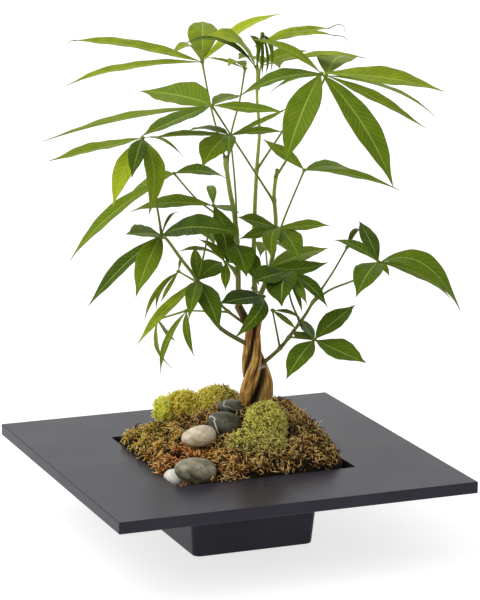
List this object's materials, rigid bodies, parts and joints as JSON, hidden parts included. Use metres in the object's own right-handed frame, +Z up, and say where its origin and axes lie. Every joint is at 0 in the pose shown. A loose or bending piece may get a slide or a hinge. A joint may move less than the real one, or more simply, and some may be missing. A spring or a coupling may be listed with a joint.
{
  "type": "potted money tree",
  "caption": "Indoor money tree with a twisted trunk and palmate leaves, rooted in moss and river pebbles in a square wide-rimmed dish planter.",
  "frame": {"origin": "centre of the underside of the planter's foot", "axes": "+Z up along the plant, X and Y along the edges of the square rim; the pebbles lie towards the corner between -X and -Y, which faces the front"},
  "size_m": [0.3376, 0.305, 0.4275],
  "materials": {
    "planter": "satin",
    "soil": "matte",
    "moss_brown": "matte",
    "moss_green": "matte",
    "moss_yellow": "matte",
    "moss_lime": "matte",
    "pebble_dark": "satin",
    "pebble_pale": "matte",
    "bark": "matte",
    "leaf": "satin",
    "leaf_light": "satin",
    "leaf_dark": "satin"
  },
  "bodies": {
    "root": {"planter": "planter", "soil": "soil", "moss_bed": "moss_brown", "moss_mound_green": "moss_green", "moss_clump_yellow": "moss_yellow", "moss_tuft_lime": "moss_lime", "pebble_dark_front": "pebble_dark", "pebble_white_front": "pebble_pale", "pebble_pale": "pebble_pale", "pebble_dark_middle": "pebble_dark", "pebble_dark_back": "pebble_dark", "trunk_strand_left": "bark", "trunk_strand_middle": "bark", "trunk_strand_right": "bark", "shoot_left": "leaf", "shoot_middle": "leaf_light", "shoot_right": "leaf", "branch_low_left": "leaf_dark", "branch_low_right": "leaf_dark"}
  },
  "joints": []
}
